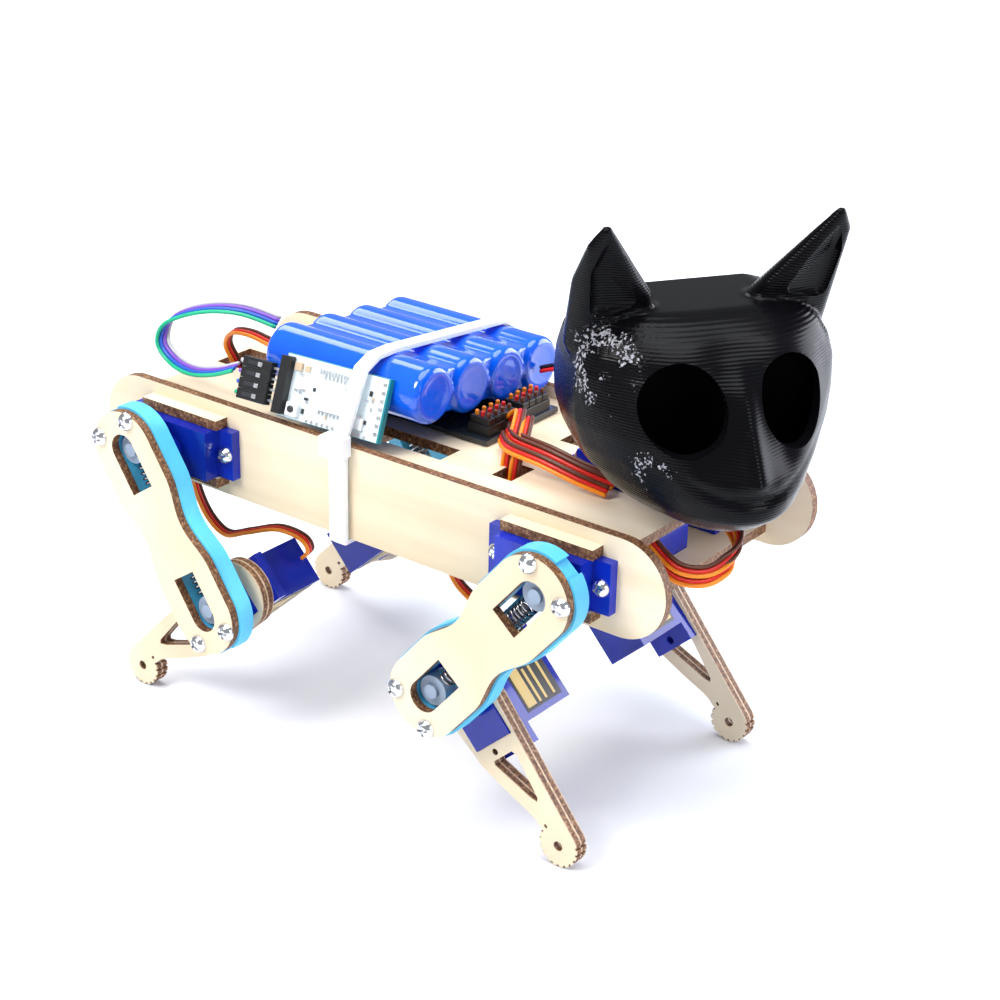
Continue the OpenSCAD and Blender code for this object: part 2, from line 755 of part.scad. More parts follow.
side_panels();
upper_deck();
lower_deck();
body_servos();
body_servo_drives();
servo_screws();
controller_board();
radio_board();
jumper_housings();
battery_pack();
cable_tie();
neck_bracket();
tilt_servo();
head_shell();
hip_horn(fr);  // hip_horn_fr
thigh_plate(fr);  // thigh_plate_fr
thigh_core(fr);  // thigh_core_fr
thigh_springs(fr);  // thigh_springs_fr
thigh_screws(fr);  // thigh_screws_fr
knee_horn(fr);  // knee_horn_fr
knee_servo(fr);  // knee_servo_fr
knee_drive(fr);  // knee_drive_fr
shank(fr);  // shank_fr
knee_lead(fr);  // knee_lead_fr
hip_horn(fl);  // hip_horn_fl
thigh_plate(fl);  // thigh_plate_fl
thigh_core(fl);  // thigh_core_fl
thigh_springs(fl);  // thigh_springs_fl
thigh_screws(fl);  // thigh_screws_fl
knee_horn(fl);  // knee_horn_fl
knee_servo(fl);  // knee_servo_fl
knee_drive(fl);  // knee_drive_fl
shank(fl);  // shank_fl
knee_lead(fl);  // knee_lead_fl
hip_horn(rr);  // hip_horn_rr
thigh_plate(rr);  // thigh_plate_rr
thigh_core(rr);  // thigh_core_rr
thigh_springs(rr);  // thigh_springs_rr
thigh_screws(rr);  // thigh_screws_rr
knee_horn(rr);  // knee_horn_rr
knee_servo(rr);  // knee_servo_rr
knee_drive(rr);  // knee_drive_rr
shank(rr);  // shank_rr
knee_lead(rr);  // knee_lead_rr
hip_horn(rl);  // hip_horn_rl
thigh_plate(rl);  // thigh_plate_rl
thigh_core(rl);  // thigh_core_rl
thigh_springs(rl);  // thigh_springs_rl
thigh_screws(rl);  // thigh_screws_rl
knee_horn(rl);  // knee_horn_rl
knee_servo(rl);  // knee_servo_rl
knee_drive(rl);  // knee_drive_rl
shank(rl);  // shank_rl
knee_lead(rl);  // knee_lead_rl
jumper_lead();
rear_lead();
deck_lead();
head_lead();
front_lead();
battery_lead();
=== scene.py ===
"""Walking robot with a cat head: materials, fine meshes, cords, light and camera round the CAD frame."""

import json
import math
import random

import bmesh
import bpy
from mathutils import Matrix, Vector


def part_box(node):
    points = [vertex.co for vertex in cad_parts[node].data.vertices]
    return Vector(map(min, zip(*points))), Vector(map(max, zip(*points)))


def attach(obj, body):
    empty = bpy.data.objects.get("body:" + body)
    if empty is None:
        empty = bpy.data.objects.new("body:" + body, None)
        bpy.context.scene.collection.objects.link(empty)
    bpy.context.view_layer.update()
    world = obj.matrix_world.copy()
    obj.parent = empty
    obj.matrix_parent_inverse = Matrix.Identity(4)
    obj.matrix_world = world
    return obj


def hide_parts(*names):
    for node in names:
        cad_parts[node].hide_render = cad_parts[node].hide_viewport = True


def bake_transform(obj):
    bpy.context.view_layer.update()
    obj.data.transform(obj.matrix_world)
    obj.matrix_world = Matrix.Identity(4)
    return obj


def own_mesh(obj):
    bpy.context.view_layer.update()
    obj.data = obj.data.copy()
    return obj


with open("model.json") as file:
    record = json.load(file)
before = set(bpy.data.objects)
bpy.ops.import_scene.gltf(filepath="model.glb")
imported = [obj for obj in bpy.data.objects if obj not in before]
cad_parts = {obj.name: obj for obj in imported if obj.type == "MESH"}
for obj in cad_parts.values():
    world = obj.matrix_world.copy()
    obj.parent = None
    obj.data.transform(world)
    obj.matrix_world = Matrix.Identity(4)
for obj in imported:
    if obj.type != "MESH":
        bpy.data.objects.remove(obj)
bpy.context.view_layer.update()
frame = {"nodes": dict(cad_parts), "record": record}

MM = 0.001
NODES = frame["nodes"]
RECORD = frame["record"]
JOINTS = {j["name"]: j for j in RECORD["behaviour"]["joints"]}
MOUNTS = {m["name"]: m for m in RECORD["mounts"]}
LEGS = {"fr": (1, -1), "fl": (1, 1), "rr": (-1, -1), "rl": (-1, 1)}

PANEL_LO, PANEL_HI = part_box("side_panels")
BODY_X = (PANEL_LO.x + PANEL_HI.x) / 2
PANEL_Y = PANEL_HI.y
DECK_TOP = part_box("upper_deck")[1].z

# ---- Camera, as the reference view: long lens, robot's front right ----

CAMERA_AT = Vector((BODY_X, 0, 0)) + Vector((302.1, -380.1, 279.1)) * MM
CAMERA_AZIMUTH, CAMERA_ELEVATION, CAMERA_ROLL = 36.99, 24.40, 1.34
LENS_MM = 79.8


def make_camera():
    a, e, r = (math.radians(v) for v in (CAMERA_AZIMUTH, CAMERA_ELEVATION, CAMERA_ROLL))
    back = Vector((math.sin(a) * math.cos(e), -math.cos(a) * math.cos(e), math.sin(e)))
    level = Vector((math.cos(a), math.sin(a), 0))
    upright = back.cross(level)
    right = level * math.cos(r) + upright * math.sin(r)
    up = upright * math.cos(r) - level * math.sin(r)
    data = bpy.data.cameras.new("camera")
    data.sensor_width = 36
    data.lens = LENS_MM
    data.clip_start, data.clip_end = 0.01, 20
    cam = bpy.data.objects.new("camera", data)
    cam.matrix_world = Matrix((right, up, back)).transposed().to_4x4()
    cam.location = CAMERA_AT
    bpy.context.collection.objects.link(cam)
    bpy.context.scene.camera = cam


make_camera()

# ---- Meshes ----


def mesh_object(name, verts, faces, materials, smooth=True, indices=None):
    mesh = bpy.data.meshes.new(name)
    mesh.from_pydata([tuple(v) for v in verts], [], faces)
    mesh.validate()
    obj = bpy.data.objects.new(name, mesh)
    bpy.context.collection.objects.link(obj)
    for m in materials:
        mesh.materials.append(m)
    if indices:
        mesh.polygons.foreach_set("material_index", indices)
    mesh.polygons.foreach_set("use_smooth", [smooth] * len(mesh.polygons))
    mesh.update()
    return obj


def apply_modifiers(obj):
    depsgraph = bpy.context.evaluated_depsgraph_get()
    depsgraph.update()
    done = bpy.data.meshes.new_from_object(obj.evaluated_get(depsgraph))
    obj.modifiers.clear()
    obj.data = done
    return obj


def carve(obj, cutter_parts):
    """Take a closed shape out of an object."""
    verts, faces = cutter_parts
    cutter = mesh_object("cutter", verts, faces, [], False)
    mod = obj.modifiers.new("carve", "BOOLEAN")
    mod.operation = "DIFFERENCE"
    mod.solver = "EXACT"
    mod.object = cutter
    apply_modifiers(obj)
    bpy.data.objects.remove(cutter)


def one_skin(obj, voxel):
    """One even, slightly softened skin over overlapping shapes."""
    remesh = obj.modifiers.new("join", "REMESH")
    remesh.mode = "VOXEL"
    remesh.voxel_size = voxel
    remesh.use_smooth_shade = True
    soften = obj.modifiers.new("soften", "SMOOTH")
    soften.factor = 0.5
    soften.iterations = 5
    apply_modifiers(obj)


def spline(points, steps):
    """Smooth route through given points, as the CAD tube follows."""
    out = []
    last = len(points) - 1
    for i in range(last):
        a, b = points[max(i - 1, 0)], points[i]
        c, d = points[i + 1], points[min(i + 2, last)]
        for k in range(steps):
            t = k / steps
            out.append(0.5 * (2 * b + (c - a) * t + (2 * a - 5 * b + 4 * c - d) * t * t
                              + (3 * b - a - 3 * c + d) * t ** 3))
    out.append(points[last])
    return out


def tube_parts(path, radius, sides=10):
    """Vertices and faces of a round tube, with turning-free rings."""
    verts, faces = [], []
    normal = None
    for i, p in enumerate(path):
        along = (path[min(i + 1, len(path) - 1)] - path[max(i - 1, 0)]).normalized()
        if normal is None:
            normal = along.orthogonal()
        normal = (normal - along * normal.dot(along)).normalized()
        other = along.cross(normal)
        for k in range(sides):
            a = 2 * math.pi * k / sides
            verts.append(p + (normal * math.cos(a) + other * math.sin(a)) * radius)
    for i in range(len(path) - 1):
        for k in range(sides):
            n = (k + 1) % sides
            faces.append((i * sides + k, i * sides + n, (i + 1) * sides + n, (i + 1) * sides + k))
    faces.append(tuple(range(sides - 1, -1, -1)))
    faces.append(tuple((len(path) - 1) * sides + k for k in range(sides)))
    return verts, faces


def join_parts(parts):
    """One vertex and face list from several, and each face's material index."""
    verts, faces, indices = [], [], []
    for (v, f), index in parts:
        base = len(verts)
        verts += v
        faces += [tuple(base + i for i in face) for face in f]
        indices += [index] * len(f)
    return verts, faces, indices


def block_parts(lo, hi, place=None, bevel=0.0):
    """A box with softly broken edges, between two corners, moved by a matrix."""
    bm = bmesh.new()
    bmesh.ops.create_cube(bm, size=1)
    lo, hi = Vector(lo), Vector(hi)
    for v in bm.verts:
        v.co = Vector(((v.co.x + 0.5) * (hi.x - lo.x) + lo.x, (v.co.y + 0.5) * (hi.y - lo.y) + lo.y,
                       (v.co.z + 0.5) * (hi.z - lo.z) + lo.z))
    if bevel:
        bmesh.ops.bevel(bm, geom=bm.edges[:], offset=bevel, segments=2, affect="EDGES", profile=0.5)
    bm.verts.ensure_lookup_table()
    verts = [(place @ v.co) if place else v.co.copy() for v in bm.verts]
    faces = [tuple(v.index for v in f.verts) for f in bm.faces]
    bm.free()
    return verts, faces


def lathe_parts(profile, place, sides=32):
    """A profile of (radius, height) turned about the local Z axis of a matrix."""
    verts, faces = [], []
    for r, h in profile:
        for k in range(sides):
            a = 2 * math.pi * k / sides
            verts.append(place @ Vector((r * math.cos(a), r * math.sin(a), h)))
    for i in range(len(profile) - 1):
        for k in range(sides):
            n = (k + 1) % sides
            faces.append((i * sides + k, i * sides + n, (i + 1) * sides + n, (i + 1) * sides + k))
    faces.append(tuple(range(sides - 1, -1, -1)))
    faces.append(tuple((len(profile) - 1) * sides + k for k in range(sides)))
    return verts, faces


# ---- Materials ----

COAT_ROUGHNESS = 0.05
SUBSURFACE_DEPTH = 2 * MM


class Shader:
    """A Principled material with small helpers for procedural detail."""

    def __init__(self, name, roughness=0.5, metallic=0.0, coat=0.0, subsurface=0.0, ior=1.45):
        self.material = bpy.data.materials.new(name)
        self.material.use_nodes = True
        self.nodes = self.material.node_tree.nodes
        self.links = self.material.node_tree.links
        self.bsdf = self.nodes["Principled BSDF"]
        self.bsdf.inputs["Roughness"].default_value = roughness
        self.bsdf.inputs["Metallic"].default_value = metallic
        self.bsdf.inputs["Coat Weight"].default_value = coat
        self.bsdf.inputs["Coat Roughness"].default_value = COAT_ROUGHNESS
        self.bsdf.inputs["Subsurface Weight"].default_value = subsurface
        self.bsdf.inputs["Subsurface Scale"].default_value = SUBSURFACE_DEPTH
        self.bsdf.inputs["IOR"].default_value = ior
        self.coords = self.nodes.new("ShaderNodeTexCoord").outputs["Object"]

    def set(self, socket, value):
        self.links.new(value, self.bsdf.inputs[socket])

    def scaled(self, scale):
        node = self.nodes.new("ShaderNodeMapping")
        node.inputs["Scale"].default_value = scale
        self.links.new(self.coords, node.inputs["Vector"])
        return node.outputs["Vector"]

    def noise(self, scale, detail=4.0, stretch=(1, 1, 1)):
        node = self.nodes.new("ShaderNodeTexNoise")
        node.inputs["Scale"].default_value = scale
        node.inputs["Detail"].default_value = detail
        self.links.new(self.scaled(stretch), node.inputs["Vector"])
        return node.outputs["Fac"]

    def bands(self, per_metre, axis="Z", distortion=0.0):
        node = self.nodes.new("ShaderNodeTexWave")
        node.wave_type = "BANDS"
        node.bands_direction = axis
        # the wave texture repeats every 2 pi / 20 units at scale 1
        node.inputs["Scale"].default_value = per_metre * math.pi / 10
        node.inputs["Distortion"].default_value = distortion
        node.inputs["Detail"].default_value = 1
        self.links.new(self.coords, node.inputs["Vector"])
        return node.outputs["Fac"]

    def ramp(self, value, stops):
        node = self.nodes.new("ShaderNodeValToRGB")
        elements = node.color_ramp.elements
        while len(elements) < len(stops):
            elements.new(0.5)
        for element, (place, colour) in zip(elements, stops):
            element.position = place
            element.color = (*colour, 1)
        self.links.new(value, node.inputs["Fac"])
        return node.outputs["Color"]

    def mix(self, factor, a, b):
        node = self.nodes.new("ShaderNodeMix")
        node.data_type = "RGBA"
        self.links.new(factor, node.inputs["Factor"])
        self.links.new(a, node.inputs["A"])
        self.links.new(b, node.inputs["B"])
        return node.outputs["Result"]

    def math(self, operation, a, b=None):
        node = self.nodes.new("ShaderNodeMath")
        node.operation = operation
        for i, v in enumerate((a, b)):
            if v is None:
                continue
            if isinstance(v, (int, float)):
                node.inputs[i].default_value = v
            else:
                self.links.new(v, node.inputs[i])
        return node.outputs["Value"]

    def normal_part(self, axis):
        geometry = self.nodes.new("ShaderNodeNewGeometry")
        split = self.nodes.new("ShaderNodeSeparateXYZ")
        self.links.new(geometry.outputs["Normal"], split.inputs["Vector"])
        return self.math("ABSOLUTE", split.outputs[axis])

    def place_part(self, axis):
        split = self.nodes.new("ShaderNodeSeparateXYZ")
        self.links.new(self.coords, split.inputs["Vector"])
        return split.outputs[axis]

    def near(self, point, radius):
        """One close to a point of the object, falling to zero at the radius."""
        away = self.nodes.new("ShaderNodeVectorMath")
        away.operation = "DISTANCE"
        self.links.new(self.coords, away.inputs[0])
        away.inputs[1].default_value = point
        share = self.math("DIVIDE", away.outputs["Value"], radius)
        return self.ramp(share, [(0.4, (1, 1, 1)), (1.0, (0, 0, 0))])

    def bump(self, height, strength, distance):
        node = self.nodes.new("ShaderNodeBump")
        node.inputs["Strength"].default_value = strength
        node.inputs["Distance"].default_value = distance
        self.links.new(height, node.inputs["Height"])
        self.links.new(node.outputs["Normal"], self.bsdf.inputs["Normal"])

    def roughness(self, value, low, high):
        node = self.nodes.new("ShaderNodeMapRange")
        node.inputs["To Min"].default_value = low
        node.inputs["To Max"].default_value = high
        self.links.new(value, node.inputs["Value"])
        self.links.new(node.outputs["Result"], self.bsdf.inputs["Roughness"])


def wood(name, sheet_axis, grain=(1, 1, 1), middle=None, half=None):
    """Birch ply: pale faces, and laser-burnt edges with paler ply lines."""
    s = Shader(name, roughness=0.55)
    long_grain = s.noise(90, 6, grain)
    blotch = s.noise(25, 2)
    face = s.ramp(long_grain, [(0.3, (0.72, 0.58, 0.40)), (0.5, (0.80, 0.68, 0.50)),
                               (0.7, (0.86, 0.76, 0.59))])
    shade = s.ramp(blotch, [(0.3, (0.88, 0.86, 0.82)), (0.7, (1.0, 1.0, 1.0))])
    tint = s.nodes.new("ShaderNodeMix")
    tint.data_type = "RGBA"
    tint.blend_type = "MULTIPLY"
    tint.inputs["Factor"].default_value = 1
    s.links.new(face, tint.inputs["A"])
    s.links.new(shade, tint.inputs["B"])
    speck = s.noise(1500, 3)
    burnt = s.ramp(speck, [(0.35, (0.075, 0.028, 0.012)), (0.55, (0.19, 0.085, 0.035)),
                           (0.72, (0.42, 0.24, 0.12))])
    if middle is not None:
        away = s.math("ABSOLUTE", s.math("SUBTRACT", s.math("ABSOLUTE", s.place_part(sheet_axis)), middle))
        across = s.math("DIVIDE", away, half)
        pale = s.ramp(across, [(0.0, (1, 1, 1)), (0.10, (1, 1, 1)), (0.16, (0, 0, 0)), (0.80, (0, 0, 0)),
                               (0.90, (1, 1, 1))])
        light = s.ramp(speck, [(0.3, (0.42, 0.28, 0.17)), (0.7, (0.66, 0.50, 0.34))])
        burnt = s.mix(pale, burnt, light)
    flat = s.math("GREATER_THAN", s.normal_part(sheet_axis), 0.7)
    s.set("Base Color", s.mix(flat, burnt, tint.outputs["Result"]))
    s.bump(long_grain, 0.25, 0.0003)
    return s.material


def moulded(name, colour, roughness=0.3, vary=0.12, grain=900, coat=0.0, subsurface=0.0, bump=0.06,
            ior=1.45):
    """Moulded plastic or rubber: slight colour drift and a fine surface."""
    s = Shader(name, roughness=roughness, coat=coat, subsurface=subsurface, ior=ior)
    drift = s.noise(60, 3)
    dark = tuple(c * (1 - vary) for c in colour)
    light = tuple(min(1, c * (1 + vary)) for c in colour)
    s.set("Base Color", s.ramp(drift, [(0.3, dark), (0.7, light)]))
    fine = s.noise(grain, 3)
    s.roughness(fine, roughness * 0.8, min(1, roughness * 1.3))
    s.bump(fine, bump, 0.0002)
    return s.material


def metal(name, colour, roughness=0.2):
    s = Shader(name, roughness=roughness, metallic=1)
    drift = s.noise(400, 3)
    s.set("Base Color", s.ramp(drift, [(0.3, tuple(c * 0.85 for c in colour)), (0.7, colour)]))
    s.roughness(s.noise(1200, 2), roughness * 0.7, roughness * 1.4)
    return s.material


def printed(name, colour, roughness, lines_per_metre, axis="Z", scars_and_glints=(), relief=0.5, ior=1.45):
    """Fused-filament plastic: layer lines over a slightly uneven gloss; scarred patches get a rough bump and
    pale specks painted in as glints (painted highlights).
    """
    s = Shader(name, roughness=roughness, ior=ior)
    uneven = s.noise(70, 4)
    dark = tuple(c * 0.8 for c in colour)
    light = tuple(min(1, c * 1.25) for c in colour)
    base = s.ramp(uneven, [(0.3, dark), (0.7, light)])
    lines = s.bands(lines_per_metre, axis, 0.4)
    height = lines
    if scars_and_glints:
        # scarred patches: a rough bump, and pale specks painted into the base colour as glints (painted
        # highlights)
        grit = s.noise(1500, 2)
        close = s.near(*scars_and_glints[0])
        for scar_and_glint in scars_and_glints[1:]:
            close = s.math("MAXIMUM", close, s.near(*scar_and_glint))
        patch = s.math("MULTIPLY", close, s.ramp(s.noise(190, 4), [(0.44, (0, 0, 0)), (0.52, (1, 1, 1))]))
        rough_and_glint_patch = s.math("MULTIPLY", grit, patch)
        height = s.math("ADD", lines, s.math("MULTIPLY", rough_and_glint_patch, 3.5))
        # painted highlight: pale grey specks in the base colour stand in for the scars catching the light
        scar_and_glint = s.ramp(rough_and_glint_patch, [(0.50, (0, 0, 0)), (0.58, (1, 1, 1))])
        pale = s.ramp(grit, [(0.4, (0.10, 0.10, 0.12)), (0.8, (0.45, 0.45, 0.50))])
        base = s.mix(scar_and_glint, base, pale)
    s.set("Base Color", base)
    s.roughness(uneven, roughness * 0.75, roughness * 1.3)
    s.bump(height, relief, 0.00012)
    return s.material


def head_place():
    """The neck's frame: x' forward, in millimetres, with its origin under the pan axis."""
    axis = Vector(JOINTS["head_tilt"]["axis"])
    pan = Vector(JOINTS["head_pan"]["pos_m"])
    m = Matrix.Rotation(math.atan2(-axis.x, axis.y), 4, "Z") @ Matrix.Scale(MM, 4)
    m.translation = Vector((pan.x, pan.y, 0))
    return m


# scarred spots on the print, with painted glints: place in the neck's frame and radius
SCARS_AND_GLINTS = [(head_place() @ Vector(p), r) for p, r in (((24, -25, 119), 0.019), ((37, -17, 99), 0.011),
                                                         ((33, -6, 104), 0.005), ((14, -20, 128), 0.007))]
SHANK_LO, SHANK_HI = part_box("shank_fl")
PLY_BODY_Y = wood("birch_panel", "Y", (0.05, 1, 1))
PLY_DECK = wood("birch_deck", "Z", (0.05, 1, 1))
PLY_THIGH = wood("birch_thigh", "Y", (0.3, 1, 0.12))
PLY_SHANK = wood("birch_shank", "Y", (0.3, 1, 0.12), (SHANK_LO.y + SHANK_HI.y) / 2,
                 (SHANK_HI.y - SHANK_LO.y) / 2)
SERVO_BLUE = moulded("servo_blue", (0.003, 0.018, 0.33), 0.14, 0.35, 700, coat=0.25, ior=1.35)
CORE_BLUE = printed("printed_blue", (0.09, 0.50, 0.80), 0.35, 2600, "Y")
HEAD_BLACK = printed("printed_black", (0.0022, 0.0022, 0.003), 0.21, 1600, "Z", SCARS_AND_GLINTS, 0.35, 1.18)
# painted shade: near-black, barely reflecting plate behind the eye holes
EYE_SHADE = moulded("painted_eye_shade", (0.001, 0.001, 0.001), 0.9, ior=1.05)
BLACK = moulded("black_plastic", (0.012, 0.012, 0.013), 0.35)
HORN = moulded("horn_nylon", (0.28, 0.36, 0.48), 0.3, subsurface=0.1)
SLEEVE = moulded("blue_shrink_film", (0.003, 0.10, 0.76), 0.09, 0.12, 200, coat=0.6, bump=0.12, ior=1.45)
NYLON = moulded("white_nylon", (0.86, 0.88, 0.90), 0.3, 0.04, 500, subsurface=0.3)
STEEL = metal("bright_steel", (0.78, 0.79, 0.82), 0.16)
SPRING = metal("spring_wire", (0.36, 0.36, 0.38), 0.22)
SOLDER = metal("solder", (0.86, 0.87, 0.90), 0.3)
BOARD_BLACK = moulded("board_black", (0.012, 0.016, 0.020), 0.25, 0.3, 400, coat=0.3)
BOARD_TEAL = moulded("board_teal", (0.012, 0.22, 0.26), 0.3, 0.2, 500)
# painted reflection: pale colour for the lamps' glare on the teal radio board
BOARD_GLARE = moulded("board_glare", (0.72, 0.82, 0.86), 0.28, 0.16, 350, coat=0.3)
CERAMIC = moulded("part_ceramic", (0.55, 0.42, 0.28), 0.4)
CHIP = moulded("part_chip", (0.03, 0.03, 0.035), 0.35)
# white parts, and painted reflection on the radio chip
WHITE_AND_GLARE = moulded("part_white_and_glare", (0.82, 0.84, 0.86), 0.3)
LABEL = moulded("label_black", (0.012, 0.012, 0.012), 0.3)
LABEL_GOLD = moulded("label_gold", (0.62, 0.45, 0.16), 0.3)
WIRES = {
    "orange": moulded("wire_orange", (0.85, 0.25, 0.01), 0.34, 0.1),
    "red": moulded("wire_red", (0.62, 0.015, 0.01), 0.34, 0.1),
    "brown": moulded("wire_brown", (0.10, 0.025, 0.010), 0.36, 0.1),
    "green": moulded("wire_green", (0.01, 0.42, 0.22), 0.32, 0.1),
    "blue": moulded("wire_blue", (0.02, 0.10, 0.52), 0.32, 0.1),
    "purple": moulded("wire_purple", (0.20, 0.08, 0.50), 0.32, 0.1),
    "grey": moulded("wire_grey", (0.50, 0.50, 0.52), 0.32, 0.1),
    "black": moulded("wire_black", (0.012, 0.012, 0.012), 0.32, 0.1),
    "yellow": moulded("wire_yellow", (0.80, 0.55, 0.02), 0.34, 0.1),
}

# ---- Cords: the routes of the CAD tubes, in millimetres from the body's middle ----

REAR_KNEE = [(-31.4, -17, 40), (-29.3, -17, 42.8), (-31.5, -17.5, 45.6), (-38, -19, 46.6),
             (-46, -21, 44), (-52, -22.5, 42.2), (-57, -23.5, 46), (-60.5, -24, 53), (-62, -24, 60.8)]
FRONT_KNEE = [(28, -17, 42.4), (23, -17, 45), (18, -18, 49), (17.4, -20, 54), (22, -22.5, 57),
              (26.8, -24, 58.2), (28, -24, 61.6)]
ROUTES = {
    "jumper_lead": [(-42, -28.2, 90.5), (-49, -27.5, 87.5), (-58, -26, 85), (-66.5, -24, 85),
                    (-71.5, -23, 88.5), (-70, -21, 94), (-62, -18, 97.8), (-52, -15, 99), (-43, -12, 97)],
    "rear_lead": [(-66, 0, 72), (-66.5, -3, 79), (-66, -6, 84.5), (-62, -8, 89), (-55, -9, 90.5),
                  (-47, -9, 89.5), (-41.5, -8, 88.5)],
    "deck_lead": [(18, 3, 81.4), (21.5, 2, 85), (25.5, -3, 87), (28, -8, 84.5), (29, -12, 80),
                  (29.2, -13, 73)],
    "head_lead": [(18, -2, 80.8), (21, -7, 83), (28, -13.5, 84.5), (38, -15, 84.5), (47, -14, 82.5),
                  (54, -11.5, 80.4)],
    "front_lead": [(67.5, -14, 71), (75, -15, 67.6), (82, -14, 68.5), (85.5, -11, 72), (85, -7, 75.5),
                   (80, -4, 78), (75, -3, 80), (71.2, -3, 80.6)],
    "battery_lead": [(9, 24, 87.5), (15, 24, 89.5), (24, 21.5, 90), (31, 16, 88), (34, 11, 84.5),
                     (34.5, 8.5, 80.4)],
}
SERVO_RIBBON = ("orange", "red", "brown")
RIBBONS = {
    "jumper_lead": (("green", "blue", "purple", "grey"), (0.3, 1, 0.6)),
    "rear_lead": (SERVO_RIBBON, (0.2, 1, 0.4)),
    "deck_lead": (SERVO_RIBBON, (1, 0.4, 0.2)),
    "head_lead": (SERVO_RIBBON, (0.1, 0.5, 1)),
    "front_lead": (SERVO_RIBBON, (0.2, 0.6, 1)),
    "battery_lead": (("red", "black"), (0.2, 0.4, 1)),
}
for leg in LEGS:
    ROUTES["knee_lead_" + leg] = FRONT_KNEE if leg[0] == "f" else REAR_KNEE
    RIBBONS["knee_lead_" + leg] = (SERVO_RIBBON, (0, 1, 0.25))

# A bundle's further ribbons run beside the first, moved by a few millimetres
BESIDE = {
    "head_lead": [(-0.6, 3.2, 0.4), (-2.0, 6.2, -0.2)],
    "deck_lead": [(-3.2, 1.2, 0.6)],
    "front_lead": [(0, 0.4, 2.2)],
}
WIRE_R = 0.5 * MM
WIRE_PITCH = 0.96 * MM


def ribbon(node, name, shift=(0, 0, 0)):
    """Flat cable: side-by-side wires along one CAD route."""
    colours, side = RIBBONS[node]
    mirrored = node.endswith(("fl", "rl"))
    points = [Vector((BODY_X + x * MM, (-y if mirrored else y) * MM, z * MM)) + Vector(shift) * MM
              for x, y, z in ROUTES[node]]
    path = spline(points, 6)
    lead = Vector(side)
    if mirrored:
        lead.y = -lead.y
    parts = []
    for k in range(len(colours)):
        offset = (k - (len(colours) - 1) / 2) * WIRE_PITCH
        line = []
        for i, p in enumerate(path):
            along = (path[min(i + 1, len(path) - 1)] - path[max(i - 1, 0)]).normalized()
            across = (lead - along * lead.dot(along)).normalized()
            line.append(p + across * offset)
        parts.append((tube_parts(line, WIRE_R), k))
    verts, faces, indices = join_parts(parts)
    obj = mesh_object(name, verts, faces, [WIRES[c] for c in colours], True, indices)
    if node.startswith("knee_lead_"):
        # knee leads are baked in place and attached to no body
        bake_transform(obj)
    else:
        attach(obj, "body")
    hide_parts(node)


for node in RECORD["physics"]["cord_nodes"]:
    ribbon(node, node + "_ribbon")
    for number, shift in enumerate(BESIDE.get(node, [])):
        ribbon(node, f"{node}_ribbon_{number + 2}", shift)

# ---- Where each leg's local frames are ----


def leg_points(leg):
    hip = Vector(JOINTS["hip_swing_" + leg]["pos_m"])
    knee = Vector(JOINTS["knee_swing_" + leg]["pos_m"])
    foot = Vector(MOUNTS["foot_hole_" + leg]["pos_m"])
    for p in (hip, knee, foot):
        p.y = 0
    return hip, knee, foot


def side_frame(origin, along, side):
    """Local x along the leg, y out of the robot's side, z square to both."""
    x = along.normalized()
    y = Vector((0, side, 0))
    z = x.cross(y)
    m = Matrix((x, y, z)).transposed().to_4x4()
    m.translation = origin
    return m


# ---- Springs ----

SPRING_R = 2.25 * MM
SPRING_WIRE = 0.36 * MM
SPRING_TURNS = 10.5


def springs(leg):
    hip, knee, _ = leg_points(leg)
    side = LEGS[leg][1]
    lo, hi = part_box("thigh_springs_" + leg)
    m = side_frame((hip + knee) / 2 + Vector((0, (lo.y + hi.y) / 2, 0)), knee - hip, side)
    half = (knee - hip).length / 2
    wall, hub = 1.95 * MM, 3.7 * MM
    for end, joint in ((-1, "hip"), (1, "knee")):
        path = []
        steps = int(SPRING_TURNS * 16)
        for i in range(steps + 1):
            t = i / steps
            # a slight wave in the pitch along the coil
            eased = t + 0.012 * math.sin(4 * math.pi * t)
            a = 2 * math.pi * SPRING_TURNS * t
            x = wall + SPRING_WIRE + eased * (half - hub - wall - 2 * SPRING_WIRE)
            path.append(m @ Vector((end * x, SPRING_R * math.cos(a), SPRING_R * math.sin(a))))
        verts, faces = tube_parts(path, SPRING_WIRE, 8)
        obj = mesh_object(f"spring_coil_{leg}_{joint}", verts, faces, [SPRING])
        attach(obj, "thigh_" + leg)
        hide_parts("thigh_springs_" + leg)
        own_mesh(obj)


# ---- Screws ----

PAN_HEAD = [(0.0, 0.75), (0.35, 0.75), (0.62, 0.66), (0.84, 0.44), (0.97, 0.16), (1.0, 0.0)]


def cross_screw(place, radius, shank_r, shank_len):
    """Domed screw head with a cross recess, head seated on local z = 0."""
    dome = [(r * radius, h * radius) for r, h in reversed(PAN_HEAD) if r > 0]
    verts, faces = lathe_parts([(shank_r, -shank_len), (shank_r, 0)] + dome, place, 32)
    bm = bmesh.new()
    made = [bm.verts.new(v) for v in verts]
    for f in faces:
        bm.faces.new([made[i] for i in f])
    bmesh.ops.recalc_face_normals(bm, faces=bm.faces[:])
    mesh = bpy.data.meshes.new("screw_blank")
    bm.to_mesh(mesh)
    bm.free()
    blank = bpy.data.objects.new("screw_blank", mesh)
    bpy.context.collection.objects.link(blank)
    w, l, deep = radius * 0.14, radius * 0.62, radius * 0.45
    carve(blank, block_parts((-l, -w, deep), (l, w, radius), place))
    carve(blank, block_parts((-w, -l, deep), (w, l, radius), place))
    verts = [v.co.copy() for v in blank.data.vertices]
    faces = [tuple(p.vertices) for p in blank.data.polygons]
    bpy.data.objects.remove(blank)
    return verts, faces


SCREW_MASTER = cross_screw(Matrix.Identity(4), 1.0 * MM, 0.4 * MM, 1.0 * MM)


